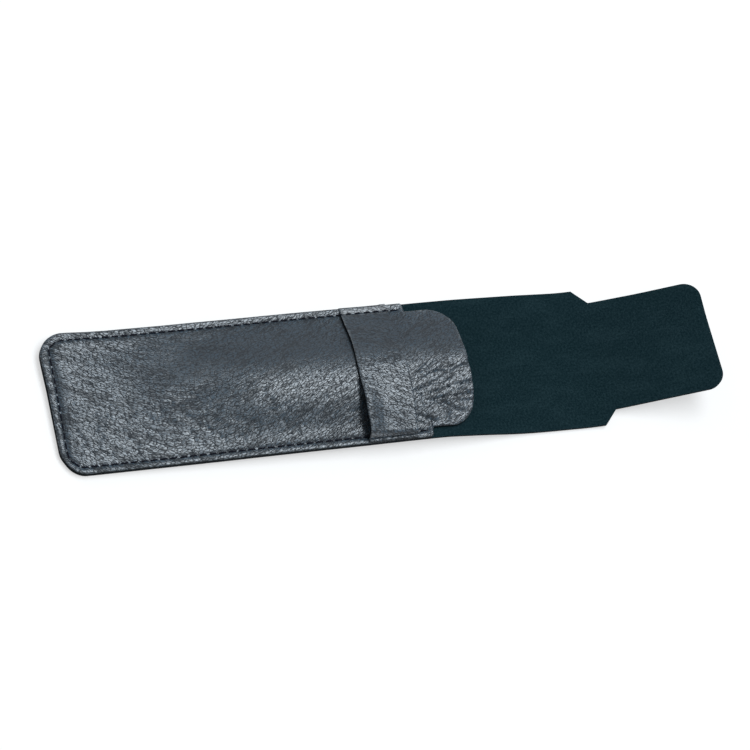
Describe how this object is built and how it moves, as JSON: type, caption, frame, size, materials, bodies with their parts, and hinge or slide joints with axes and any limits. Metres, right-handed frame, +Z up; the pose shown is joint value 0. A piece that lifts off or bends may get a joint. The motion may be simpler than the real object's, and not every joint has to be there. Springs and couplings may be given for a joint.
{
  "type": "single pen sleeve",
  "caption": "Slim sewn sleeve for one pen, with a lined pocket, a retaining strap across it and a flap that folds over the mouth, shown open.",
  "frame": {"origin": "on the table under the middle of the open sleeve", "axes": "+X from the closed end of the pocket towards the tip of the flap, +Z up from the back to the front of the sleeve"},
  "size_m": [0.2196, 0.047, 0.0133],
  "materials": {
    "leatherette": "pebbled grain with a soft sheen, blue-grey",
    "suede": "very fine flocked suede, black-green",
    "thread": "twisted polyester sewing thread, near black"
  },
  "bodies": {
    "sleeve": {"back_cover": "leatherette", "back_lining": "suede", "front_cover": "leatherette", "front_lining": "suede", "strap_cover": "leatherette", "strap_lining": "suede", "needle_thread": "thread", "bobbin_thread": "thread"},
    "fold": {"fold_cover": "leatherette", "fold_lining": "suede"},
    "flap": {"flap_cover": "leatherette", "flap_lining": "suede"}
  },
  "joints": [
    {"name": "fold_at_pocket", "type": "hinge", "parent": "sleeve", "child": "fold", "pos_m": [0.04025, 0, 0.0012], "axis": [0, -1, 0], "range_deg": [0, 83]},
    {"name": "fold_at_flap", "type": "hinge", "parent": "fold", "child": "flap", "pos_m": [0.05025, 0, 0.0012], "axis": [0, -1, 0], "range_deg": [0, 83]}
  ]
}
